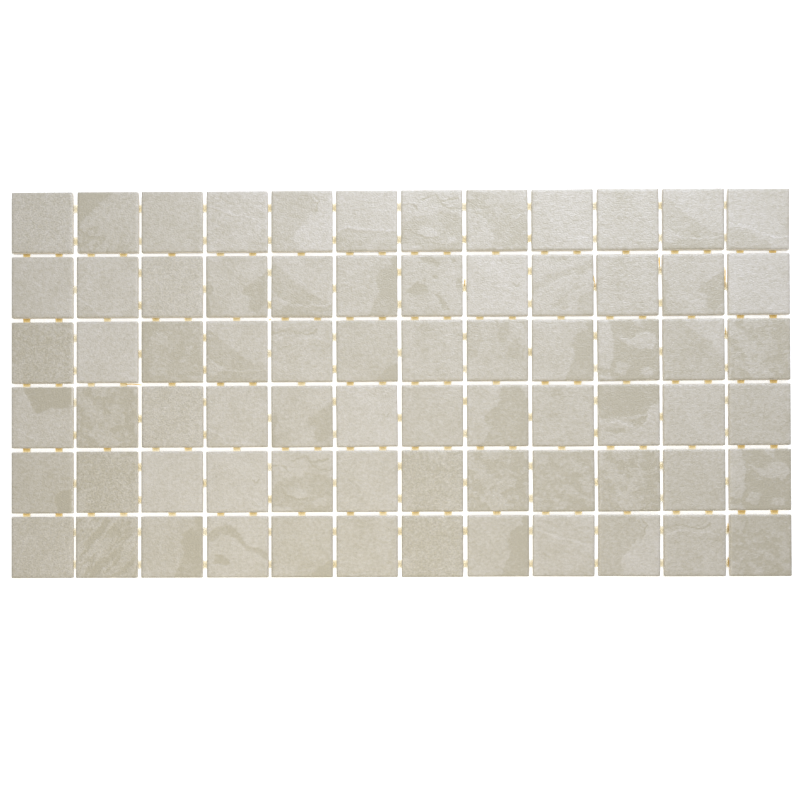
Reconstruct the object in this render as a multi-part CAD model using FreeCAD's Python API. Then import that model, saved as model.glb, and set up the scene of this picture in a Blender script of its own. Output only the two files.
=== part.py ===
"""A dot-mounted mosaic sheet: square pressed porcelain tiles in a regular grid, joined by small cured
resin dots. Each dot lies under the backs of two tiles and fills the bottom of the joint between them.
X runs along the tile rows, Y across them, and Z up out of the tile faces. The origin is at the middle
of the sheet, on the level surface that the undersides of the dots rest on."""
import FreeCAD, Part
import math
import os

# Grid of the sheet, in millimetres
columns = 12
rows = 6
tile_pitch = 50.8
joint_width = 3.0

# Pressed tile
tile_thickness = 6.4
wall_draft = 1.5
corner_ease = 0.9
bevel_width = 1.0
bevel_drop = 0.8

# Grooves pressed into the tile's back, which key it to its mortar bed, inside a flat rim
back_rim = 7.0
groove_width = 6.0
groove_land = 5.0
groove_depth = 0.5
groove_side_slope = 0.4

# Resin dots
dot_length = 7.4
dot_lap = 2.1
dot_proud = 0.8
dot_rim_slope = 0.9
plug_height = 1.9
plug_end_slope = 0.8
dots_left = 0.7
dots_down = 1.3

# Sizes that follow from the ones above
tile_width = tile_pitch - joint_width
tile_back = dot_proud
draft_slope = math.tan(math.radians(wall_draft))
wall_height = tile_thickness - bevel_drop
groove_length = tile_width - 2 * back_rim
groove_pitch = groove_width + groove_land
groove_count = int((groove_length + groove_land) // groove_pitch)


def wall_inset(height):
    """How far the drafted wall stands back from the tile's widest outline, at a height over its back."""
    return max(0.0, wall_height - height) * draft_slope


def joint_half(height):
    """Half the width of the joint between two tiles, at a height over their backs."""
    return joint_width / 2 + wall_inset(height)


def eased_square(inset, height):
    """Outline of the tile, inset from its widest, as eight points at a height over its back."""
    side = tile_width / 2 - inset
    ease = side - corner_ease
    corners = [(side, -ease), (side, ease), (ease, side), (-ease, side),
               (-side, ease), (-side, -ease), (-ease, -side), (ease, -side)]
    return [FreeCAD.Vector(x, y, tile_back + height) for x, y in corners]


def flat_face(points):
    """A flat face inside a closed run of straight edges."""
    return Part.Face(Part.makePolygon(points + points[:1]))


def solid_through(sections):
    """A flat-sided solid through a stack of outlines that all have the same number of points."""
    faces = [flat_face(sections[0]), flat_face(sections[-1])]
    for lower, upper in zip(sections, sections[1:]):
        for i in range(len(lower)):
            j = (i + 1) % len(lower)
            faces.append(flat_face([lower[i], lower[j], upper[j], upper[i]]))
    solid = Part.Solid(Part.makeShell(faces))
    if solid.Volume < 0:
        solid.reverse()
    return solid


def rectangle(half_x, half_y, height):
    """Outline of a rectangle centred on the Z axis, as four points at a height over the floor."""
    corners = [(half_x, -half_y), (half_x, half_y), (-half_x, half_y), (-half_x, -half_y)]
    return [FreeCAD.Vector(x, y, height) for x, y in corners]


def tile_blank():
    """The pressed tile with its drafted walls and bevelled face edges, and a plain back."""
    return solid_through([
        eased_square(wall_inset(0), 0),
        eased_square(0, wall_height),
        eased_square(bevel_width, tile_thickness)])


def groove_cutter(offset):
    """The space of one key groove, closed at both ends, with sloped sides that release from the die."""
    mouth = rectangle(groove_width / 2, groove_length / 2, tile_back)
    floor = rectangle(groove_width / 2 - groove_side_slope,
                      groove_length / 2 - groove_side_slope, tile_back + groove_depth)
    cutter = solid_through([mouth, floor])
    cutter.translate(FreeCAD.Vector(offset, 0, 0))
    return cutter


def tile():
    """One finished tile, centred on the Z axis."""
    first = -(groove_count - 1) / 2 * groove_pitch
    grooves = [groove_cutter(first + i * groove_pitch) for i in range(groove_count)]
    return tile_blank().cut(Part.Compound(grooves))


def pad_outline(size, height):
    """Outline of a dot's pad, at a share of its full size: its end flats are as wide as the joint."""
    throat = joint_half(0)
    reach = throat + dot_lap
    end = dot_length / 2
    side = end - dot_lap
    corners = [(reach, -side), (reach, side), (throat, end), (-throat, end),
               (-reach, side), (-reach, -side), (-throat, -end), (throat, -end)]
    return [FreeCAD.Vector(x * size, y * size, height) for x, y in corners]


def resin_dot():
    """One cured dot in a joint that runs along Y: a pad under two tiles, and a plug between their walls."""
    half_length = dot_length / 2
    foot = 1 - dot_rim_slope / half_length
    pad = solid_through([pad_outline(foot, 0), pad_outline(1, tile_back)])
    plug = solid_through([
        rectangle(joint_half(0), half_length, tile_back),
        rectangle(joint_half(plug_height), half_length - plug_end_slope, tile_back + plug_height)])
    return pad.fuse(plug).removeSplitter()


def tile_x(column):
    """X of the middle of a column of tiles. A half number is the joint after that column."""
    return (column - (columns + 1) / 2) * tile_pitch


def tile_y(row):
    """Y of the middle of a row of tiles, counted from the top of the sheet."""
    return ((rows + 1) / 2 - row) * tile_pitch


def spread(count):
    """Places of one dot or two along a tile's side, from its middle."""
    return [0.0] if count == 1 else [-tile_pitch / 4, tile_pitch / 4]


def dots_below(column, row):
    """Number of dots under a tile: two at the edges of each half sheet, and one or two by turns between."""
    from_end = min(column, columns + 1 - column)
    if from_end in (1, columns // 2) or (from_end + row) % 2:
        return 2
    return 1


def dots_beside(column, row):
    """Number of dots to the right of a tile: two in the outer rows, and one or two by turns between."""
    from_end = min(row, rows + 1 - row)
    if from_end == 1 or (from_end + column) % 2 == 0:
        return 2
    return 1


def tile_row(row):
    """The tiles of one row."""
    pattern = tile()
    return [pattern.translated(FreeCAD.Vector(tile_x(column), tile_y(row), 0))
            for column in range(1, columns + 1)]


def dots_under_row(row):
    """The dots in the joint between a row of tiles and the next row."""
    pattern = resin_dot()
    pattern.rotate(FreeCAD.Vector(0, 0, 0), FreeCAD.Vector(0, 0, 1), 90)
    return [pattern.translated(FreeCAD.Vector(tile_x(column) + along - dots_left, tile_y(row + 0.5), 0))
            for column in range(1, columns + 1)
            for along in spread(dots_below(column, row))]


def dots_in_row(row):
    """The dots in the joints between the tiles of one row."""
    pattern = resin_dot()
    return [pattern.translated(FreeCAD.Vector(tile_x(column + 0.5), tile_y(row) + along - dots_down, 0))
            for column in range(1, columns)
            for along in spread(dots_beside(column, row))]


def save(name, solids):
    """Writes one node's solids to its file."""
    Part.Compound(solids).exportStep(os.path.join("parts", name + ".step"))


os.makedirs("parts", exist_ok=True)
for row in range(1, rows + 1):
    save(f"tile_row_{row}", tile_row(row))
    save(f"resin_dots_in_row_{row}", dots_in_row(row))
for row in range(1, rows):
    save(f"resin_dots_under_row_{row}", dots_under_row(row))
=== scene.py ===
import bmesh
import bpy
import math
import numpy as np
import random
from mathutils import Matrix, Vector, noise


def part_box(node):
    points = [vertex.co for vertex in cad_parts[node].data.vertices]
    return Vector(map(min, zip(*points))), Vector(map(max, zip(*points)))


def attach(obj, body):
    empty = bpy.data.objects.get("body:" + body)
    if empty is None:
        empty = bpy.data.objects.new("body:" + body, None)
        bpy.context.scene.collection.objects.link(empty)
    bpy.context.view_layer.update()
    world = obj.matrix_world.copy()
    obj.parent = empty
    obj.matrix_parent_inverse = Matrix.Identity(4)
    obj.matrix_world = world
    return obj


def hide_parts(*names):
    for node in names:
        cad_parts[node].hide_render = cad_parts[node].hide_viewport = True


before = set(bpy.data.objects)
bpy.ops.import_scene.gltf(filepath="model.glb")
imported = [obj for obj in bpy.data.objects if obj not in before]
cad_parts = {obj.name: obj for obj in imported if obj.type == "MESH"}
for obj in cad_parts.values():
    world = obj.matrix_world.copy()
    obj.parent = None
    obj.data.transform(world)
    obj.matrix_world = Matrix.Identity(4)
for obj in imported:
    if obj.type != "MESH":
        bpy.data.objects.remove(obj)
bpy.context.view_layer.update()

# Tiles. Each one is a square of porcelain, pressed from fine clay powder between steel dies and fired once.
# The die gives the face its shallow slate relief and soft edges, and the back its flat rim and key grooves.
# The tiles touch nothing but the resin dots, 12 in a row and 6 rows, with open joints for the grout.
columns = 12
rows = 6
row_low, row_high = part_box("tile_row_1")
next_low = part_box("tile_row_2")[0]
tile_width = row_high.y - row_low.y
tile_pitch = row_low.y - next_low.y
joint_width = tile_pitch - tile_width
tile_back = row_low.z
tile_face = row_high.z
face_cells = 64
edge_round = 0.0011
edge_steps = 3
pillow_width = 0.0025
pillow_drop = 0.00034
corner_radius = 0.0005
wall_draft = 0.00014
back_ease = 0.0003
groove_places = (-0.011, 0.0, 0.011)
groove_width = 0.006
groove_length = 0.0338
groove_depth = 0.0005
groove_slope = 0.0004
hair = 0.00001
back_margin = 0.0001


def pick_faces(blank, wanted):
    """In edit mode, selects the faces that pass the test on their middle and normal, and nothing else."""
    bpy.ops.mesh.select_mode(type="FACE")
    bpy.ops.mesh.select_all(action="DESELECT")
    shape = bmesh.from_edit_mesh(blank.data)
    for face in shape.faces:
        face.select_set(bool(wanted(face.calc_center_median(), face.normal)))
    bmesh.update_edit_mesh(blank.data)


def draw_skirt(grow, drop):
    """Extrudes the open border that is selected, scales it about the tile's middle and lowers it."""
    bpy.ops.mesh.extrude_region_move(TRANSFORM_OT_translate={"value": (0, 0, -drop)})
    bpy.ops.transform.resize(value=(grow, grow, 1), center_override=(0, 0, 0))


def on_back(middle, normal):
    """Whether a face of the blank belongs to its back."""
    return normal.z < -0.9 and middle.z < tile_back + back_margin


bpy.ops.object.select_all(action="DESELECT")
bpy.ops.mesh.primitive_grid_add(x_subdivisions=face_cells, y_subdivisions=face_cells,
                                size=tile_width - 2 * edge_round, location=(0, 0, tile_face))
blank = bpy.context.object
bpy.ops.object.transform_apply(location=True, rotation=True, scale=True)
bpy.ops.object.mode_set(mode="EDIT")
bpy.ops.mesh.select_mode(type="EDGE")
bpy.ops.mesh.select_all(action="DESELECT")
bpy.ops.mesh.select_non_manifold()
half = tile_width / 2 - edge_round
level = tile_face
for step in range(1, edge_steps + 1):
    turn = math.radians(90 * step / edge_steps)
    wider = tile_width / 2 - edge_round * (1 - math.sin(turn))
    lower = tile_face - edge_round * (1 - math.cos(turn))
    draw_skirt(wider / half, level - lower)
    half, level = wider, lower
draw_skirt((half - wall_draft) / half, level - tile_back - back_ease)
half -= wall_draft
draw_skirt((half - back_ease) / half, back_ease)
bpy.ops.mesh.edge_face_add()
for place in groove_places:
    for side in (-groove_width / 2, groove_width / 2):
        pick_faces(blank, on_back)
        bpy.ops.mesh.bisect(plane_co=(place + side, 0, 0), plane_no=(1, 0, 0))
for end in (-groove_length / 2, groove_length / 2):
    pick_faces(blank, on_back)
    bpy.ops.mesh.bisect(plane_co=(0, end, 0), plane_no=(0, 1, 0))


def in_groove(middle, normal):
    """Whether a face of the blank's back is the mouth of a key groove."""
    return (on_back(middle, normal) and abs(middle.y) < groove_length / 2
            and any(abs(middle.x - place) < groove_width / 2 for place in groove_places))


pick_faces(blank, in_groove)
bpy.ops.mesh.inset(thickness=groove_slope, depth=-groove_depth, use_individual=True)
bpy.ops.object.mode_set(mode="OBJECT")


def points_of(mesh):
    """The places of a mesh's vertices, one row each."""
    places = np.empty(3 * len(mesh.vertices), np.float32)
    mesh.vertices.foreach_get("co", places)
    return places.reshape(-1, 3).astype(float)


def put_points(mesh, places):
    """Moves a mesh's vertices to these places."""
    mesh.vertices.foreach_set("co", places.astype(np.float32).ravel())
    mesh.update()


# The face falls a little towards its edges, and the corners are drawn in to their radius, ring by ring
blank_points = points_of(blank.data)
reach = np.abs(blank_points[:, :2])
ring = reach.max(axis=1)
from_edge = np.clip(tile_width / 2 - reach, 0, pillow_width) / pillow_width
sunk = pillow_drop * ((1 - from_edge) ** 2).max(axis=1)
on_top = np.clip((blank_points[:, 2] - tile_face + edge_round) / edge_round, 0, 1)
blank_points[:, 2] -= sunk * on_top
radius = np.maximum(corner_radius - (tile_width / 2 - ring), 0)
past = np.maximum(reach - (ring - radius)[:, None], 0)
stretch = np.maximum(np.hypot(past[:, 0], past[:, 1]), 1e-9)
rounded = reach - past + past * (radius / stretch)[:, None]
in_corner = (past.min(axis=1) > 0) & (radius > 0)
blank_points[in_corner, :2] = (np.sign(blank_points[:, :2]) * rounded)[in_corner]
put_points(blank.data, blank_points)

# Prints. The makers print a few dozen faces, cut from one big drawing of cleft slate, and the sheet mixes
# them. A print is its tone, how deep its split layers look, how speckled it is, and features laid one over
# another, in half tiles from the middle: 1 makes what lies under a feature darker, and -1 paler.
relief_depth = 0.00034
crack_width = 0.019
layer_edge = 0.018
tone_steps = 20
cloud_tone = 0.27
split_depth = 0.30
line_depth = 0.50
cleft_depth = 0.20
cloud_depth = 0.10
plain_depth = 0.30


def fractal(u, v, scale, seed, octaves=5):
    """Fractal noise over a tile's face, with about this many waves across half of it."""
    away = Vector((seed * 13.7, seed * 5.3, seed * 1.9))
    return np.array([noise.fractal(Vector((a * scale, b * scale, 0)) + away, 0.9, 2.0, octaves)
                     for a, b in zip(u, v)])


def gap_to(u, v, start, end):
    """How far points are from a straight stretch."""
    run = (end[0] - start[0], end[1] - start[1])
    share = np.clip(((u - start[0]) * run[0] + (v - start[1]) * run[1]) / (run[0] ** 2 + run[1] ** 2), 0, 1)
    return np.hypot(u - start[0] - share * run[0], v - start[1] - share * run[1])


def patch(u, v, seed, *corners):
    """How far points lie inside a patch with these corners, some of them off the tile."""
    nearest = np.full(len(u), 9.0)
    inside = np.zeros(len(u), bool)
    for start, end in zip(corners, corners[1:] + corners[:1]):
        nearest = np.minimum(nearest, gap_to(u, v, start, end))
        if start[1] != end[1]:
            crossing = start[0] + (end[0] - start[0]) * (v - start[1]) / (end[1] - start[1])
            inside ^= ((start[1] > v) != (end[1] > v)) & (u < crossing)
    return np.where(inside, nearest, -nearest)


def flakes(u, v, seed, size, cover):
    """How far points lie inside one of many ragged flakes of about this size."""
    return size * (fractal(u, v, 1 / size, seed + 3.3, 3) - cover)


def streaks(u, v, seed, heading, size, cover):
    """How far points lie inside one of many long streaks at this heading in degrees."""
    turn = math.radians(heading)
    along = u * math.cos(turn) + v * math.sin(turn)
    across = v * math.cos(turn) - u * math.sin(turn)
    return size * (fractal(along * 0.16, across, 1 / size, seed + 6.1, 4) - cover)


def crack(u, v, seed, *corners):
    """How near points lie to a thin line through these corners."""
    gaps = [gap_to(u, v, start, end) for start, end in zip(corners, corners[1:])]
    return np.exp(-(np.min(gaps, axis=0) / crack_width) ** 2)


whole_face = ((-1.2, 1.2), (1.2, 1.2), (1.2, -1.2), (-1.2, -1.2))
prints = {
    "a": (2.1, 1, 1, []),
    "b": (0.5, 0.5, 2.3, [(flakes, 1, 0.12, 0.35)]),
    "c": (-1, 1, 1, [
        (patch, 1, (-1.2, 1.2), (0.3, 0.6), (0.9, 0.2), (1.2, -1.2), (-0.1, -1.2), (-0.3, 0), (-0.8, 0.2)),
        (patch, -1, (-0.4, 0.75), (0.2, 0.85), (0.6, 0.7), (0.1, 0.45), (-0.3, 0.5)),
        (flakes, -1, 0.25, 0.35)]),
    "d": (-0.5, 1.5, 1.4, [
        (patch, 1, (-1.2, 0.1), (-0.45, 0.05), (-0.15, -0.4), (-0.25, -1.2), (-1.2, -1.2)),
        (flakes, -1, 0.2, 0.05),
        (patch, 1, (-1.2, 1.2), (0.16, 1.2), (0.16, 0.98), (-0.13, 0.71), (-0.5, 0.46), (-0.6, 0.25),
         (-0.85, 0), (-1.2, -0.05)),
        (streaks, 1, 60, 0.14, 0.6),
        (patch, -1, (0.2, 0.95), (0.9, 0.95), (0.75, 0.6), (0.2, 0.5), (-0.3, 0.3), (-0.5, -0.1),
         (-0.75, -0.35), (-0.8, -0.1), (-0.5, 0.35), (-0.1, 0.65))]),
    "e": (7.5, 1.2, 1, [
        (patch, 1, (-1.2, 1.2), (0.16, 1.2), (0.2, 0.85), (0.34, 0.66), (0.48, 0.45), (0.46, 0.2),
         (0.12, 0.03), (-0.2, -0.34), (-0.26, -0.6), (-0.17, -1.2), (-1.2, -1.2)),
        (crack, 1, (0.3, 0.8), (0.42, 0.62), (0.6, 0.5)),
        (crack, 1, (0.42, 0.85), (0.62, 0.62), (0.46, 0.3))]),
    "f": (4, 1, 1, [
        (patch, 1, (-1.2, -0.4), (-0.45, -0.3), (0, -0.36), (0.5, -0.34), (1.2, -0.3), (1.2, -1.2),
         (-1.2, -1.2)),
        (crack, -1, (-0.9, -0.3), (-0.4, -0.24), (-0.1, -0.3), (0.5, -0.32), (0.95, -0.28))]),
    "g": (2.5, 1.1, 1, [
        (patch, 1, (-1.2, -0.7), (-0.9, -0.1), (-0.6, 0.14), (0, 0.2), (0.25, 0.3), (1.2, 0), (1.2, -1.2),
         (0.3, -1.2), (-0.4, -0.95)),
        (patch, -1, (-0.6, -0.5), (-0.35, -0.25), (0.1, -0.3), (0.15, -0.5), (-0.2, -0.65)),
        (patch, -1, (0.3, -0.6), (0.8, -0.5), (0.9, -0.8), (0.4, -0.85)),
        (crack, 1, (-0.3, 0.8), (0.1, 0.85), (0.26, 0.64), (0.47, 0.39), (1.1, 0.35)),
        (crack, 1, (-0.9, 0.45), (-0.5, 0.5), (-0.35, 0.35)),
        (crack, 1, (0.25, 0.64), (0.9, 0.7)),
        (crack, 1, (-0.6, -0.5), (-0.2, -0.66), (0.15, -0.52))]),
    "h": (2.5, 1, 1, [
        (patch, 1, (-1.2, 0.9), (-0.9, 0.7), (-0.66, 0.45), (-0.4, 0.22), (-0.08, 0), (0.33, -0.29),
         (0.6, -0.4), (1.2, -0.5), (1.2, -1.2), (-1.2, -1.2)),
        (patch, -1, (-1.2, -0.15), (-0.8, -0.35), (-0.5, -0.55), (-0.7, -0.75), (-1.2, -0.6)),
        (crack, -1, (-0.97, -0.15), (-0.66, -0.45), (-0.4, -0.6), (0.2, -0.64), (0.9, -0.58))]),
    "i": (-0.3, 1.25, 1, [
        (patch, 1, (1.2, 0.55), (0.63, 0.22), (0.26, 0.03), (0.17, -0.17), (0.42, -0.4), (0.38, -0.72),
         (0.6, -0.9), (0.85, -0.7), (1.2, -0.5)),
        (patch, 1, (-1.2, 0.2), (-0.88, 0.1), (-0.84, -0.5), (-0.95, -1.2), (-1.2, -1.2))]),
    "j": (2, 1.6, 1.2, [
        (patch, 1, (-0.6, 1.2), (-0.55, 0.6), (-0.4, 0.3), (-0.55, 0), (-0.45, -0.4), (-0.6, -0.7),
         (-0.4, -1.2), (1.2, -1.2), (1.2, 1.2)),
        (patch, 1, (-1, -0.6), (-0.6, -0.65), (-0.65, -0.85), (-0.95, -0.8)),
        (patch, -1, (-0.3, 0.45), (0.1, 0.3), (0.35, 0.45), (0.75, 0.45), (0.9, 0.3), (0.75, 0), (0.4, 0),
         (0, 0.1)),
        (patch, -1, (0.1, 1), (0.5, 1), (0.4, 0.7), (0.15, 0.75)),
        (patch, -1, (-0.35, -0.42), (0, -0.5), (-0.1, -0.85), (-0.4, -0.8)),
        (patch, -1, (0.35, -0.6), (0.75, -0.55), (0.8, -0.85), (0.4, -0.85)),
        (flakes, -1, 0.2, 0.8)]),
    "k": (-2, 0.9, 2.4, [
        (flakes, 1, 0.10, 0.05),
        (patch, -1, (-1.2, -0.3), (-0.7, -0.4), (-0.6, -1.2), (-1.2, -1.2))]),
    "l": (-3, 1.4, 1, [
        (patch, 1, (1.2, -0.45), (0.86, -0.5), (0.53, -0.66), (0.32, -0.88), (0.2, -1.2), (1.2, -1.2))]),
    "m": (2.8, 2.0, 1, [
        (patch, 1, (-0.55, 1.2), (-0.5, 0.85), (-0.45, 0.6), (-0.37, 0.25), (-0.15, 0.12), (0.5, 0.25),
         (1.2, 0.4), (1.2, 1.2)),
        (crack, -1, (-0.95, -0.35), (-0.6, -0.45), (-0.3, -0.7))]),
    "n": (-0.5, 1.4, 1, [
        (patch, 1, (1.2, 1.2), (0.75, 1.2), (0.68, 0.7), (0.45, 0.45), (0.28, 0.15), (0.38, -0.15),
         (0.26, -0.5), (-0.02, -1.2), (1.2, -1.2)),
        (patch, -1, (0.5, 0.95), (0.8, 0.9), (0.78, 0.62), (0.58, 0.6)),
        (flakes, -1, 0.15, 0.9)]),
    "o": (2, 1.4, 1, [
        (patch, 1, (0.25, 1.2), (0.2, 0.9), (0.08, 0.5), (-0.12, 0.24), (-0.42, 0.03), (-0.45, -0.13),
         (-0.25, -0.4), (-0.37, -0.65), (-0.85, -1.2), (1.2, -1.2), (1.2, 1.2)),
        (patch, -1, (0.7, 0.95), (1.1, 1), (1.1, 0.5), (0.85, 0.55))]),
    "p": (1, 1.5, 1, [
        (patch, 1, (-1.2, 1.2), (-1.2, -0.05), (-0.5, -0.15), (0.15, -0.02), (0.6, 0.05), (0.8, 0.3),
         (1.2, 0.5), (1.2, 1.2)),
        (patch, 1, (-0.7, -0.5), (-0.2, -0.45), (-0.1, -0.6), (-0.5, -0.7)),
        (patch, 1, (0.1, -0.1), (0.6, -0.05), (0.5, -0.35), (0.2, -0.3)),
        (crack, -1, (-0.95, -0.22), (-0.4, -0.28), (0.1, -0.3)),
        (crack, -1, (0.4, -0.4), (0.7, -0.1))]),
    "q": (-1, 1, 1, [
        (patch, 1, (-1.2, 1), (-0.5, 0.9), (-0.55, 0.3), (-0.65, -0.2), (-1.2, -0.3)),
        (patch, 1, (-0.05, 1.2), (0.95, 1.2), (0.9, 0.4), (0.8, -0.35), (0.3, -0.3), (0.35, 0.1),
         (0.05, 0.2)),
        (patch, -1, (0.45, 0.9), (0.8, 0.8), (0.6, 0.4), (0.4, 0.5)),
        (streaks, -1, 75, 0.2, 0.4)]),
    "r": (2, 1, 1, [
        (patch, 1, (-1.2, -0.5), (-0.65, -0.05), (-0.3, 0.1), (0.35, 0.3), (1.2, 0.55), (1.2, 0.75),
         (0.3, 0.5), (-0.4, 0.3), (-1.2, -0.1)),
        (patch, 1, (1.2, -0.1), (0.5, -0.35), (0.35, -1.2), (1.2, -1.2)),
        (patch, 1, (-0.5, 0.9), (0, 0.95), (0.2, 0.8), (-0.3, 0.75)),
        (streaks, 1, 30, 0.12, 0.5)]),
    "s": (0, 1.2, 1.4, [(flakes, 1, 0.55, 0), (flakes, -1, 0.16, 0.4)]),
    "t": (0.5, 1, 1, [
        (streaks, 1, 5, 0.1, 0.5),
        (crack, 1, (-1.1, 0.56), (-0.75, 0.62), (-0.4, 0.65), (0.2, 0.56), (0.5, 0.66)),
        (crack, -1, (-0.9, 0.4), (-0.3, 0.45), (0.6, 0.35))]),
    "u": (0, 1, 1, [
        (patch, 1, *whole_face),
        (patch, -1, (-0.5, 0.6), (-0.15, 0.65), (-0.1, 0.25), (-0.45, 0.2)),
        (patch, -1, (0.4, 0.2), (0.65, 0.2), (0.6, -0.1), (0.4, -0.05)),
        (patch, -1, (-0.75, -0.45), (-0.3, -0.5), (-0.15, -0.8), (-0.7, -0.9)),
        (flakes, -1, 0.2, 0.45)]),
    "v": (3.3, 1, 1, [
        (patch, 1, (-1.2, -0.3), (-0.4, -0.35), (0, -0.6), (0.4, -0.8), (0.4, -1.2), (-1.2, -1.2)),
        (crack, -1, (-0.95, -0.15), (-0.35, -0.2), (0.15, -0.48), (0.5, -0.62), (0.95, -0.6))]),
    "w": (0, 0.8, 1, [(streaks, 1, 0, 0.09, 0.45)]),
    "x": (4.1, 1, 1, [
        (patch, 1, (-1.2, 1.2), (-0.4, 1.2), (-0.27, 0.72), (0.14, 0.45), (0.47, 0.2), (0.8, -0.12),
         (1.2, -0.35), (1.2, -1.2), (-1.2, -1.2))]),
    "y": (-0.5, 1.7, 0.8, [
        (patch, 1, (-0.4, 0.92), (0, 0.95), (0.25, 0.75), (0.2, 0.62), (-0.1, 0.72)),
        (patch, 1, (-0.9, -0.2), (-0.7, -0.05), (-0.45, 0.16), (-0.24, 0), (-0.16, -0.26), (-0.62, -0.34)),
        (patch, 1, (0.05, -0.3), (0.38, -0.55), (0.59, -0.84), (0.34, -0.9), (0.22, -0.6)),
        (patch, 1, (0.75, 0.15), (1.1, 0.2), (1.1, -0.05), (0.8, -0.05)),
        (patch, 1, (0.05, 0.25), (0.22, 0.27), (0.2, 0.12), (0.05, 0.13)),
        (patch, 1, (0.6, 0.88), (0.75, 0.85), (0.7, 0.74)),
        (patch, 1, (-0.35, 0.2), (-0.2, 0.2), (-0.25, 0.06))]),
    "z": (6.3, 1, 1, [
        (flakes, 1, 0.07, 1.0),
        (patch, 1, (0, 0.85), (0.1, 0.88), (0.2, 0.78), (0.3, 0.62), (0.18, 0.72)),
        (crack, 1, (0.45, 0.05), (0.6, -0.05), (0.75, 0.02))]),
    "A": (-1.5, 1.8, 1, [
        (patch, 1, (1.2, -0.12), (0.97, -0.17), (0.64, -0.29), (0.43, -0.45), (0.51, -0.79), (0.6, -1.2),
         (1.2, -1.2)),
        (patch, -1, (0.65, 0.75), (1.1, 0.8), (1.1, 0.35), (0.7, 0.4))]),
    "B": (4.8, 1.6, 1, [
        (patch, 1, (-1, 0.5), (-0.55, 0.7), (-0.2, 0.75), (-0.05, 0.5), (0.2, 0.16), (0.7, -0.05),
         (1.2, -0.25), (1.2, -0.5), (0.7, -0.3), (0.35, -0.1), (-0.15, 0.25), (-0.5, 0.4), (-0.75, 0.2),
         (-1, 0.25)),
        (patch, 1, (-0.75, -0.3), (-0.3, -0.35), (-0.35, -0.6), (-0.8, -0.6))]),
    "C": (1, 1.6, 1.6, [
        (streaks, 1, 50, 0.12, 0.15),
        (patch, 1, (-0.6, -0.95), (-0.45, -0.98), (0.0, -0.55), (0.35, -0.2), (0.2, -0.15), (-0.25, -0.5)),
        (patch, 1, (-0.75, 0.1), (-0.6, 0), (-0.1, 0.5), (0.2, 0.9), (0.05, 0.9), (-0.4, 0.5)),
        (patch, 1, (0.25, -1), (0.4, -1), (1.1, -0.35), (1.1, -0.2), (0.6, -0.6))]),
    "D": (-0.5, 1, 1, [
        (patch, 1, *whole_face),
        (patch, -1, (0.35, 0.5), (0.8, 0.45), (0.8, 0.2), (0.4, 0.2)),
        (patch, -1, (0.55, -0.05), (0.95, -0.1), (0.9, -0.4), (0.6, -0.35)),
        (patch, -1, (-0.95, 0.85), (-0.5, 0.85), (-0.6, 0.5), (-0.95, 0.55)),
        (flakes, -1, 0.22, 0.3)]),
    "E": (5.5, 1, 1, [
        (streaks, 1, -20, 0.1, 0.5),
        (crack, -1, (-1, 0.5), (-0.43, 0.33), (0, 0.2), (0.6, 0.1))]),
    "F": (2.5, 1, 1, [(crack, -1, (-1, -0.38), (-0.6, -0.62), (-0.2, -0.85), (0.4, -0.9))]),
    "G": (8, 1, 0.9, []),
    "H": (-1.5, 1, 0.9, []),
}
layout = ("bdHEefgcawhv",
          "aFbihnyzrwiG",
          "kGuhtlwqnjxs",
          "msbFizHowpaH",
          "AkGzgaksDsHj",
          "bCnBlwknEetD")

# The tiles are set by hand, so some lie a little off the grid, by mm right and up and by degrees of turn
off_grid = {
    (2, 1): (0.8, 0, 0), (3, 1): (0.3, 0, 0), (4, 1): (0.4, 0, 0), (5, 1): (0.3, 0, 0),
    (10, 1): (0.2, 0, 0), (11, 1): (0.2, 0, 0), (12, 1): (-0.22, -0.35, -0.5),
    (2, 2): (0.3, 0, 0), (3, 2): (0.2, 0, 0), (5, 2): (0.2, -0.2, -0.5), (8, 2): (0, -0.2, 0),
    (9, 2): (0.2, -0.2, 0), (10, 2): (-0.2, -0.3, 0.4), (11, 2): (0, -0.3, 0.4),
    (1, 3): (0, -0.4, 0), (2, 3): (0.2, 0, 0), (3, 3): (0.2, 0, 0), (6, 3): (0, 0, 0.3),
    (7, 3): (0, 0, 0.4), (9, 3): (0, -0.2, 0), (10, 3): (0.2, -0.2, 0.7), (11, 3): (0, 0, 0.3),
    (1, 4): (0, -0.2, 0), (3, 4): (0.3, 0, 0), (4, 4): (0, 0, 0.3), (5, 4): (0, -0.2, 0.3),
    (6, 4): (-0.2, 0, 0.6), (9, 4): (0, -0.3, 0), (10, 4): (0.2, 0, 0), (12, 4): (0, 0.2, 0),
    (1, 5): (0, -0.4, 0), (4, 5): (0, -0.2, 0.4), (6, 5): (-0.2, 0, 0), (7, 5): (-0.2, 0, 0),
    (9, 5): (0.3, -0.3, 0.3), (10, 5): (0.2, -0.3, 0.4), (12, 5): (0, 0.3, 0),
    (2, 6): (-0.4, 0, 0), (3, 6): (-0.2, 0, 0), (4, 6): (0.4, 0, 0), (5, 6): (-0.2, 0, 0),
    (6, 6): (-0.3, 0.1, 0), (7, 6): (-0.3, 0, 0), (8, 6): (0, 0.2, 0), (9, 6): (0, 0.18, -0.3),
    (10, 6): (0, 0.2, -0.4),
}


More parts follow.
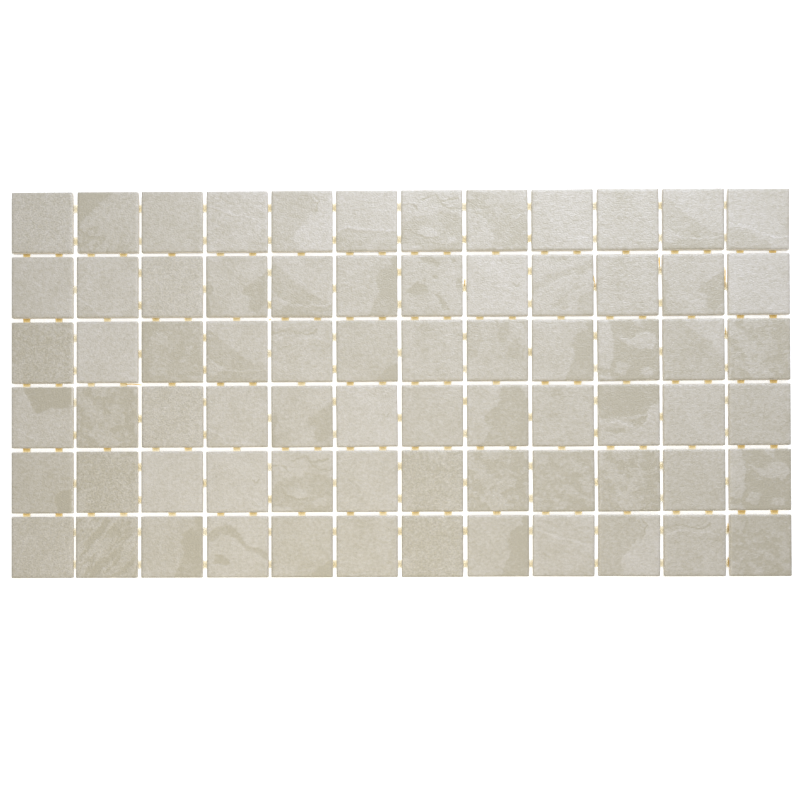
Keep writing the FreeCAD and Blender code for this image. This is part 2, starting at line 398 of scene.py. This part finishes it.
def press_print(places, name):
    """Shapes a blank's face, and returns how dark, lined and toned its print is at each vertex."""
    u = places[:, 0] / (tile_width / 2)
    v = places[:, 1] / (tile_width / 2)
    tone, deep, speckle, features = prints[name]
    seed = ord(name) / 3
    a = u + 0.11 * fractal(u, v, 1.8, seed + 0.31, 6) + 0.025 * fractal(u, v, 9.0, seed + 0.12, 3)
    b = v + 0.11 * fractal(u, v, 1.8, seed + 0.77, 6) + 0.025 * fractal(u, v, 9.0, seed + 0.58, 3)
    dark = np.full(len(u), -0.5)
    lines = np.zeros(len(u))
    for shape, side, *sizes in features:
        near = shape(a, b, seed, *sizes)
        if shape is crack:
            lines += side * near
        else:
            dark = np.maximum(dark, near) if side > 0 else np.minimum(dark, -near)
    cleft = fractal(u * 0.7, v * 1.6, 6.0, seed + 0.5, 4)
    clouds = fractal(u, v, 1.1, seed + 0.9, 6)
    split = deep * (0.5 + 0.5 * np.tanh(dark / layer_edge))
    depth = (split_depth * split + line_depth * lines - cleft_depth * cleft - cloud_depth * clouds
             + plain_depth)
    on_top = np.clip((places[:, 2] - tile_face + edge_round) / edge_round, 0, 1)
    places[:, 2] -= relief_depth * np.clip(depth, 0, 1) * on_top
    return {"split": split, "lines": lines, "tone": cloud_tone * clouds - tone / tone_steps,
            "speckle": np.full(len(u), speckle)}


def write_attribute(mesh, name, values):
    """Stores one number for each vertex of a mesh."""
    stored = mesh.attributes.new(name=name, type="FLOAT", domain="POINT")
    stored.data.foreach_set("value", values.astype(np.float32))


pressed = {}
for name in prints:
    tile = blank.copy()
    tile.data = blank.data.copy()
    places = points_of(tile.data)
    for attribute, values in press_print(places, name).items():
        write_attribute(tile.data, attribute, values)
    put_points(tile.data, places)
    pressed[name] = tile

random.seed(12)
tile_rows = []
for row in range(1, rows + 1):
    bpy.ops.object.select_all(action="DESELECT")
    for column in range(1, columns + 1):
        pattern = pressed[layout[row - 1][column - 1]]
        tile = pattern.copy()
        tile.data = pattern.data.copy()
        bpy.context.collection.objects.link(tile)
        right, up, turn = off_grid.get((column, row), (0, 0, 0))
        cosine, sine = math.cos(math.radians(turn)), math.sin(math.radians(turn))
        places = points_of(tile.data)
        places[:, :2] = places[:, :2] @ ((cosine, sine), (-sine, cosine))
        places[:, 0] += (column - (columns + 1) / 2) * tile_pitch + right / 1000
        places[:, 1] += ((rows + 1) / 2 - row) * tile_pitch + up / 1000
        put_points(tile.data, places)
        tile.select_set(True)
    bpy.context.view_layer.objects.active = tile
    bpy.ops.object.join()
    bpy.ops.object.shade_smooth_by_angle(angle=math.radians(35))
    tile_rows.append(bpy.context.object)
    tile_rows[-1].name = f"tiles_row_{row}"
for pattern in (blank, *pressed.values()):
    bpy.data.objects.remove(pattern)

# Tile finish. The porcelain is satin and warm grey, with olive where the drawn slate is split, and a fine
# mineral grain all over. The walls and the back are the bare body, plain, pale and a little chalky.
pale_stone = (0.673, 0.627, 0.547, 1)
olive_stone = (0.547, 0.499, 0.388, 1)
plain_shade = 0.31
split_shade = 0.45
line_shade = 1.5
palest_line = -0.45
speckle_shade = 2.2
grain_shade = 0.298
print_relief = 0.00042
bare_body = (0.91, 0.853, 0.75, 1)
body_mottle = 0.93
body_relief = 0.00008


def join_math(tree, kind, first, second=None, third=None):
    """Adds a maths node, with numbers or sockets as inputs, and gives its output."""
    node = tree.nodes.new("ShaderNodeMath")
    node.operation = kind
    for slot, value in zip(node.inputs, (first, second, third)):
        if isinstance(value, bpy.types.NodeSocket):
            tree.links.new(value, slot)
        elif value is not None:
            slot.default_value = value
    return node.outputs[0]


def new_material(name):
    """A material with its shader, empty but for that."""
    material = bpy.data.materials.new(name)
    material.use_nodes = True
    return material, material.node_tree, material.node_tree.nodes["Principled BSDF"]


grain_group = bpy.data.node_groups.new("mineral_grain", "ShaderNodeTree")
for socket, start in (("Grain Size", 1100.0), ("Speckle Size", 420.0)):
    made = grain_group.interface.new_socket(name=socket, in_out="INPUT", socket_type="NodeSocketFloat")
    made.default_value = start
for socket in ("Grain", "Speckle"):
    grain_group.interface.new_socket(name=socket, in_out="OUTPUT", socket_type="NodeSocketFloat")
grain_in = grain_group.nodes.new("NodeGroupInput")
grain_out = grain_group.nodes.new("NodeGroupOutput")
grain_place = grain_group.nodes.new("ShaderNodeTexCoord")
grain_stretch = grain_group.nodes.new("ShaderNodeMapping")
grain_stretch.inputs["Scale"].default_value = (0.75, 1.0, 1.0)
grain_group.links.new(grain_place.outputs["Object"], grain_stretch.inputs["Vector"])
for socket, detail in (("Grain", 2.0), ("Speckle", 3.0)):
    pattern = grain_group.nodes.new("ShaderNodeTexNoise")
    pattern.inputs["Detail"].default_value = detail
    grain_group.links.new(grain_stretch.outputs["Vector"], pattern.inputs["Vector"])
    grain_group.links.new(grain_in.outputs[socket + " Size"], pattern.inputs["Scale"])
    grain_group.links.new(pattern.outputs["Fac"], grain_out.inputs[socket])


def add_grain(tree, grain_size, speckle_size):
    """Places the mineral grain in a material."""
    node = tree.nodes.new("ShaderNodeGroup")
    node.node_tree = grain_group
    node.inputs["Grain Size"].default_value = grain_size
    node.inputs["Speckle Size"].default_value = speckle_size
    return node.outputs


def add_bump(tree, shader, height, distance):
    """Gives a shader its fine relief."""
    bump = tree.nodes.new("ShaderNodeBump")
    bump.inputs["Distance"].default_value = distance
    tree.links.new(height, bump.inputs["Height"])
    tree.links.new(bump.outputs["Normal"], shader.inputs["Normal"])


def mix_colours(tree, share, first, second):
    """Mixes two colours, given as numbers or sockets."""
    node = tree.nodes.new("ShaderNodeMix")
    node.data_type = "RGBA"
    node.clamp_factor = False
    tree.links.new(share, node.inputs["Factor"])
    for slot, value in ((node.inputs["A"], first), (node.inputs["B"], second)):
        if isinstance(value, bpy.types.NodeSocket):
            tree.links.new(value, slot)
        else:
            slot.default_value = value
    return node.outputs["Result"]


def read_attribute(tree, name):
    """Reads one of the numbers stored on the mesh."""
    node = tree.nodes.new("ShaderNodeAttribute")
    node.attribute_name = name
    return node.outputs["Fac"]


print_finish, tree, shader = new_material("slate_print")
grain = add_grain(tree, 1000.0, 520.0)
shade = join_math(tree, "MULTIPLY_ADD", read_attribute(tree, "split"), split_shade, plain_shade)
shade = join_math(tree, "ADD", shade, read_attribute(tree, "tone"))
lines = join_math(tree, "MULTIPLY", read_attribute(tree, "lines"), line_shade)
shade = join_math(tree, "ADD", shade, join_math(tree, "MAXIMUM", lines, palest_line))
spots = join_math(tree, "MULTIPLY_ADD", grain["Speckle"], -speckle_shade, speckle_shade / 2)
shade = join_math(tree, "MINIMUM", join_math(tree, "ADD", shade, spots), 1.0)
pepper = tree.nodes.new("ShaderNodeHueSaturation")
tree.links.new(mix_colours(tree, shade, pale_stone, olive_stone), pepper.inputs["Color"])
peppered = join_math(tree, "MULTIPLY_ADD", grain["Grain"], grain_shade, -grain_shade / 2)
peppered = join_math(tree, "MULTIPLY_ADD", peppered, read_attribute(tree, "speckle"), 1.0)
tree.links.new(peppered, pepper.inputs["Value"])
tree.links.new(pepper.outputs["Color"], shader.inputs["Base Color"])
tree.links.new(join_math(tree, "MULTIPLY_ADD", grain["Grain"], 0.2, 0.32), shader.inputs["Roughness"])
shader.inputs["Specular IOR Level"].default_value = 1.0
add_bump(tree, shader, grain["Grain"], print_relief)

body_finish, tree, shader = new_material("bare_porcelain")
grain = add_grain(tree, 1400.0, 500.0)
darker = (*(part * body_mottle for part in bare_body[:3]), 1)
tree.links.new(mix_colours(tree, grain["Speckle"], bare_body, darker), shader.inputs["Base Color"])
tree.links.new(join_math(tree, "MULTIPLY_ADD", grain["Grain"], 0.15, 0.45), shader.inputs["Roughness"])
add_bump(tree, shader, grain["Grain"], body_relief)

for row, tiles in enumerate(tile_rows, start=1):
    tiles.data.materials.append(print_finish)
    tiles.data.materials.append(body_finish)
    for face in tiles.data.polygons:
        if face.center.z < tile_face - edge_round * 0.6:
            face.material_index = 1
    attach(tiles, "root")
    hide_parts(f"tile_row_{row}")

# Resin dots. Each is a drop of hot resin, laid on the backs of two tiles and cured flat against a belt: a
# round pad under both tiles, with a plug that rose between their walls and shrank to a hollow as it set.
across_low, across_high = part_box("resin_dots_under_row_1")
beside_low, beside_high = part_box("resin_dots_in_row_1")
dot_length = beside_high.y - beside_low.y - tile_pitch / 2
dots_left = -(across_low.x + across_high.x) / 2
dots_down = (row_low.y + row_high.y - beside_low.y - beside_high.y) / 2
plug_top = beside_high.z
joint_half = joint_width / 2 + wall_draft
dot_sides = 12
foot_share = 0.72
foot_ease = 0.0003
ease_grow = 1.25
plug_steps = ((0.94, 0.0003), (0.90, 0.0005), (0.82, 0.0006))
top_shorten = 0.75
top_rise = plug_top - tile_back - sum(rise for shorten, rise in plug_steps)
plug_cuts = (-0.3, 0.05, 0.4)
plug_hollow = 0.0007
plug_slump = 0.0009
plug_waist = 0.22

bpy.ops.object.select_all(action="DESELECT")
bpy.ops.mesh.primitive_circle_add(vertices=dot_sides, radius=dot_length / 2 * foot_share, fill_type="NGON")
drop = bpy.context.object
bpy.ops.object.mode_set(mode="EDIT")
bpy.ops.mesh.select_all(action="SELECT")
for grow, rise in ((ease_grow, foot_ease), (1 / foot_share / ease_grow, tile_back - foot_ease)):
    bpy.ops.mesh.extrude_region_move(TRANSFORM_OT_translate={"value": (0, 0, rise)})
    bpy.ops.transform.resize(value=(grow, grow, 1), center_override=(0, 0, 0))


def on_pad_top(middle, normal):
    """Whether a face of the drop lies against the tiles' backs."""
    return abs(middle.z - tile_back) < hair and abs(normal.z) > 0.9


def on_plug_foot(middle, normal):
    """Whether a face of the drop lies against the tiles' backs, in the joint between them."""
    return on_pad_top(middle, normal) and abs(middle.x) < joint_half


def on_plug_top(middle, normal):
    """Whether a face of the drop is the top of its plug."""
    return middle.z > plug_top - hair and normal.z > 0.9


for place in (-joint_half, joint_half):
    pick_faces(drop, on_pad_top)
    bpy.ops.mesh.bisect(plane_co=(place, 0, 0), plane_no=(1, 0, 0))
pick_faces(drop, on_plug_foot)
for shorten, rise in (*plug_steps, (top_shorten, top_rise)):
    bpy.ops.mesh.extrude_region_move(TRANSFORM_OT_translate={"value": (0, 0, rise)})
    bpy.ops.transform.resize(value=(1.0, shorten, 1), center_override=(0, 0, 0))
pick_faces(drop, lambda middle, normal: middle.z > tile_back)
bpy.ops.mesh.bisect(plane_co=(0, 0, 0), plane_no=(1, 0, 0))
for place in plug_cuts:
    pick_faces(drop, on_plug_top)
    bpy.ops.mesh.bisect(plane_co=(0, place * dot_length, 0), plane_no=(0, 1, 0))
bpy.ops.mesh.select_all(action="SELECT")
bpy.ops.mesh.normals_make_consistent(inside=False)
bpy.ops.object.mode_set(mode="OBJECT")
drop_points = points_of(drop.data)
at_top = drop_points[:, 2] > plug_top - hair
across = np.abs(drop_points[:, 0]) / joint_half
along = np.abs(drop_points[:, 1]) * 2 / dot_length
sunk = plug_hollow * (1 - across ** 2) + plug_slump * along ** 3
drop_points[at_top, 2] -= sunk[at_top]
between = across < 1.01
drop_points[between, 1] *= 1 - plug_waist * (1 - across[between] ** 2)
put_points(drop.data, drop_points)


def dots_below(column, row):
    """Number of dots under a tile: two at the edges of each half sheet, and one or two by turns between."""
    from_end = min(column, columns + 1 - column)
    return 2 if from_end in (1, columns // 2) or (from_end + row) % 2 else 1


def dots_beside(column, row):
    """Number of dots to the right of a tile: two in the outer rows, and one or two by turns between."""
    from_end = min(row, rows + 1 - row)
    return 2 if from_end == 1 or (from_end + column) % 2 == 0 else 1


def spread(count):
    """Places of one dot or two along a tile's side, from its middle."""
    return (0.0,) if count == 1 else (-tile_pitch / 4, tile_pitch / 4)


# The dots differ in length and in colour. Between rows they are deeper and darker along their upper side,
# which is painted shade from the tile above, and deepest in the outermost columns. Between columns they sit
# a little higher, and are deepest below their middle. All of them are dimmed a little by painted shade.
row_joint_stretch = (0.93, 1.0)
row_joint_amber = 0.46
row_joint_shade = 0.25
upper_side_shade_amber = 0.26
upper_side_shade = 0.07
column_joint_stretch = (1.0, 1.1)
column_joint_amber = 0.34
column_joint_shade = 0.39
deepest_at = -0.15
drawn_up = 0.03
amber_spread = (0.75, 1.25)
edge_depth = 1.6


def flat_fade(along, reach):
    """Full over most of a dot's length, and falling off steeply past this share of its half length."""
    return 1 / (1 + (np.abs(along) / reach) ** 6)


def soft_fade(along, middle, reach):
    """Fullest at this place along a dot, and fading away from it."""
    return np.exp(-((along - middle) / reach) ** 2)


def lay_dots(name, spots, turned, strings):
    """Copies the drop to each spot, a little longer or shorter, and joins the copies and the strings."""
    bpy.ops.object.select_all(action="DESELECT")
    for x, y, deep in spots:
        dot = drop.copy()
        dot.data = drop.data.copy()
        bpy.context.collection.objects.link(dot)
        places = points_of(dot.data)
        along = places[:, 1] * 2 / dot_length
        across = places[:, 0] / joint_half
        if turned:
            places[:, 1] *= random.uniform(*row_joint_stretch)
            places[:, :2] = places[:, 1::-1] * (1, -1)
            # Painted shade: the amber deepens towards the upper side, where the tile above shades the dot
            amber_and_shade = (row_joint_amber - upper_side_shade_amber * across) * flat_fade(along, 0.76)
            # Painted shade: the dot is dimmed, most along its upper side under the tile above
            painted_shade = (row_joint_shade - upper_side_shade * across) * flat_fade(along, 0.72)
        else:
            from_end = (places[:, 1] + dot_length / 2) * random.uniform(*column_joint_stretch)
            places[:, 1] = from_end - dot_length * (0.5 - drawn_up)
            reach = np.where(along > deepest_at, 0.85, 0.6)
            amber_and_shade = column_joint_amber * soft_fade(along, deepest_at, reach)
            # Painted shade: the dot is dimmed, most near its middle
            painted_shade = column_joint_shade * soft_fade(along, -0.05, 0.85)
        places[:, :2] += (x, y)
        put_points(dot.data, places)
        write_attribute(dot.data, "amber_and_shade", np.clip(amber_and_shade * deep * random.uniform(*amber_spread), 0, 1))
        write_attribute(dot.data, "painted_shade", np.clip(painted_shade, 0, 1))
        dot.select_set(True)
    for string in strings:
        string.select_set(True)
    bpy.context.view_layer.objects.active = dot
    bpy.ops.object.join()
    bpy.ops.object.shade_smooth_by_angle(angle=math.radians(50))
    bpy.context.object.name = name
    return bpy.context.object


# The resin's colour deepens with its amber value, which holds painted shade along the upper side of the
# dots between rows, and a painted shade value dims it further, most on that upper side and near the middle
# of the dots between columns
resin_tint = (0.576, 0.384, 0.115, 1)
amber_resin, tree, shader = new_material("amber_resin")
amber_depth_and_shade = tree.nodes.new("ShaderNodeGamma")
amber_depth_and_shade.inputs["Color"].default_value = resin_tint
tree.links.new(read_attribute(tree, "amber_and_shade"), amber_depth_and_shade.inputs["Gamma"])
# Painted shade: the colour is dimmed by the dot's painted shade value
painted_dimming = tree.nodes.new("ShaderNodeHueSaturation")
tree.links.new(amber_depth_and_shade.outputs["Color"], painted_dimming.inputs["Color"])
tree.links.new(join_math(tree, "SUBTRACT", 1.0, read_attribute(tree, "painted_shade")), painted_dimming.inputs["Value"])
tree.links.new(painted_dimming.outputs["Color"], shader.inputs["Base Color"])
shader.inputs["Roughness"].default_value = 0.25
shader.inputs["IOR"].default_value = 1.2
shader.inputs["Transmission Weight"].default_value = 1.0

# Where a drop was drawn out as the nozzle left it, a thin string of resin trails along the joint; the two
# beside the last tile of row 6 are painted shade. Each has its column and row, and then places in mm from
# the middle of the joint, with its half thickness at each.
string_sides = 6
string_amber = 0.85
strings = [
    (9, 2, ((0.3, -1, 2.0, 0.5), (0.2, 2, 1.9, 0.3), (-0.5, 4.5, 1.9, 0.55), (-0.6, 6, 1.9, 0.6),
            (-0.8, 7.5, 1.5, 0.35), (-0.9, 8.6, 1.2, 0.15))),
    (10, 2, ((0.3, 11.5, 2.0, 0.4), (0, 14, 1.9, 0.25), (-0.2, 16, 1.9, 0.45), (-0.3, 18.5, 1.9, 0.7),
             (-0.3, 20.5, 1.9, 0.75), (-0.3, 22, 1.8, 0.5))),
    (11, 2, ((0, -1.5, 2.0, 0.45), (-0.1, 2, 1.9, 0.4), (-0.1, 4.5, 2.0, 0.6), (-0.1, 6, 2.0, 0.6),
             (0, 8, 1.9, 0.4), (0, 10.5, 2.0, 0.55), (0, 12.5, 1.7, 0.35), (-0.1, 14.4, 1.2, 0.15))),
    (7, 2, ((0.1, 0, 2.0, 0.5), (0.2, 2, 2.0, 0.45), (0.3, 4, 2.0, 0.65), (0.3, 5, 2.0, 0.45),
            (0.3, 5.8, 1.6, 0.2))),
    (11, 3, ((0.2, 12, 2.0, 0.5), (0.2, 14.5, 2.0, 0.5), (0.3, 16.5, 1.8, 0.4), (0.2, 18.2, 1.5, 0.2))),
    (2, 3, ((-11.5, -24.9, 1.9, 0.35), (-8, -24.6, 1.9, 0.45), (-5, -24.7, 1.9, 0.4),
            (-2, -25.0, 1.9, 0.45), (0.2, -25.3, 1.8, 0.4), (1.0, -25.4, 1.5, 0.2))),
    # These two strings, along the left wall of the last tile in row 6, are painted shade: dark resin laid
    # where the joint is shaded
    (11, 6, ((1.0, 17.5, 1.6, 0.2), (1.0, 15.5, 2.0, 0.45), (1.0, 12.0, 2.0, 0.5), (0.9, 10.2, 1.8, 0.3))),
    (11, 6, ((1.0, -8.8, 1.6, 0.2), (1.0, -10.5, 2.0, 0.45), (1.0, -14.5, 2.0, 0.5),
             (0.9, -16.8, 1.8, 0.3))),
    (4, 3, ((-0.4, 24.9, 1.9, 0.45), (0.2, 25.5, 1.9, 0.6), (0.7, 26.0, 1.9, 0.4))),
]


def draw_string(column, row, places):
    """Draws one string of resin along its places."""
    bpy.ops.object.select_all(action="DESELECT")
    joint = Vector((column + 0.5 - (columns + 1) / 2, (rows + 1) / 2 - row, 0)) * tile_pitch
    stops = [(joint + Vector(place[:3]) / 1000, place[3] / 1000) for place in places]
    heading = (stops[1][0] - stops[0][0]).to_track_quat("Z", "Y").to_euler()
    bpy.ops.mesh.primitive_circle_add(vertices=string_sides, radius=stops[0][1], fill_type="NGON",
                                      location=stops[0][0], rotation=heading)
    bpy.ops.object.transform_apply(location=True, rotation=True, scale=True)
    string = bpy.context.object
    bpy.ops.object.mode_set(mode="EDIT")
    bpy.ops.mesh.select_all(action="SELECT")
    for (start, thick), (end, thicker) in zip(stops, stops[1:]):
        bpy.ops.mesh.extrude_region_move(TRANSFORM_OT_translate={"value": end - start})
        bpy.ops.transform.resize(value=(thicker / thick,) * 3, center_override=end)
    bpy.ops.mesh.select_all(action="SELECT")
    bpy.ops.mesh.normals_make_consistent(inside=False)
    bpy.ops.object.mode_set(mode="OBJECT")
    write_attribute(string.data, "amber_and_shade", np.full(len(string.data.vertices), string_amber))
    return string


dot_pieces = []
for row in range(1, rows + 1):
    spots = [((column + 0.5 - (columns + 1) / 2) * tile_pitch,
              ((rows + 1) / 2 - row) * tile_pitch + along - dots_down, 1.0)
             for column in range(1, columns) for along in spread(dots_beside(column, row))]
    drawn = [draw_string(*string) for string in strings if string[1] == row]
    dot_pieces.append(lay_dots(f"dots_in_row_{row}", spots, False, drawn))
    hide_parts(f"resin_dots_in_row_{row}")
for row in range(1, rows):
    spots = [((column - (columns + 1) / 2) * tile_pitch + along - dots_left,
              ((rows + 1) / 2 - row - 0.5) * tile_pitch, edge_depth if column in (1, columns) else 1.0)
             for column in range(1, columns + 1) for along in spread(dots_below(column, row))]
    dot_pieces.append(lay_dots(f"dots_under_row_{row}", spots, True, []))
    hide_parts(f"resin_dots_under_row_{row}")
bpy.data.objects.remove(drop)
for piece in dot_pieces:
    piece.data.materials.append(amber_resin)
    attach(piece, "root")

# Ground and surroundings. The sheet lies flat on a plain white table in a white room. Both are pure white
# in the picture and through the clear resin, and the room lights the tiles softly, most of all from above.
table_size = 6.0
table_gap = 0.0001
table_white = (0.92, 0.92, 0.92, 1)
table_glow = 0.66
plain_white = (1, 1, 1, 1)
room_light = 0.20
overhead_light = 0.27

bpy.ops.mesh.primitive_plane_add(size=table_size, location=(0, 0, -table_gap))
table = bpy.context.object
table.name = "table"
table_finish, tree, shader = new_material("white_table")
shader.inputs["Base Color"].default_value = table_white
shader.inputs["Roughness"].default_value = 0.9
rays = tree.nodes.new("ShaderNodeLightPath")
seen = join_math(tree, "MAXIMUM", rays.outputs["Is Camera Ray"], rays.outputs["Is Glossy Ray"])
seen = join_math(tree, "MULTIPLY", seen, table_glow)
seen = join_math(tree, "MAXIMUM", seen, rays.outputs["Is Transmission Ray"])
tree.links.new(seen, shader.inputs["Emission Strength"])
shader.inputs["Emission Color"].default_value = plain_white
table.data.materials.append(table_finish)

world = bpy.data.worlds.new("studio")
bpy.context.scene.world = world
world.use_nodes = True
tree = world.node_tree
tree.nodes["Background"].inputs["Color"].default_value = plain_white
heading = tree.nodes.new("ShaderNodeTexCoord")
height = tree.nodes.new("ShaderNodeSeparateXYZ")
tree.links.new(heading.outputs["Generated"], height.inputs["Vector"])
rays = tree.nodes.new("ShaderNodeLightPath")
seen = join_math(tree, "MAXIMUM", rays.outputs["Is Camera Ray"], rays.outputs["Is Transmission Ray"])
steepness = join_math(tree, "ABSOLUTE", height.outputs["Z"])
soft = join_math(tree, "MULTIPLY_ADD", steepness, overhead_light, room_light)
tree.links.new(join_math(tree, "MAXIMUM", soft, seen), tree.nodes["Background"].inputs["Strength"])

# Lamps. A cool soft box hangs far beyond the upper edge of the sheet, right of its middle, and a small warm
# one hangs just beyond the lower edge, left of the middle. Both point at the middle of the sheet.
cool_light = (0.79, 0.855, 1.0)
warm_light = (1.0, 0.92, 0.68)


def hang_lamp(place, width, depth, power, tint):
    """Hangs a soft box that points at the middle of the sheet."""
    bpy.ops.object.light_add(type="AREA", location=place)
    lamp = bpy.context.object
    lamp.data.shape = "RECTANGLE"
    lamp.data.size = width
    lamp.data.size_y = depth
    lamp.data.energy = power
    lamp.data.color = tint
    lamp.rotation_euler = (-lamp.location).to_track_quat("-Z", "Y").to_euler()
    lamp.visible_camera = False


hang_lamp((0.20, 0.70, 0.60), 0.45, 0.30, 6.15, cool_light)
hang_lamp((-0.09, -0.31, 0.59), 0.30, 0.30, 1.25, warm_light)

# Camera. It hangs 1.2 m over the lowest row of tiles and looks almost straight down through a long lens,
# which is shifted up to bring the sheet to the middle of the picture.
lens_pixels = 1535.1
image_pixels = 800
sensor_width = 36.0
camera_place = (0.0062, -0.1295, 1.2)
camera_turn = (0.805, 0.814, -0.172)
camera_shift = (0.017, 0.16)

bpy.ops.object.camera_add(location=camera_place, rotation=[math.radians(turn) for turn in camera_turn])
camera = bpy.context.object
camera.data.sensor_width = sensor_width
camera.data.lens = lens_pixels / image_pixels * sensor_width
camera.data.shift_x, camera.data.shift_y = camera_shift
camera.data.clip_start = 0.05
bpy.context.scene.camera = camera
bpy.context.scene.view_settings.view_transform = "Standard"
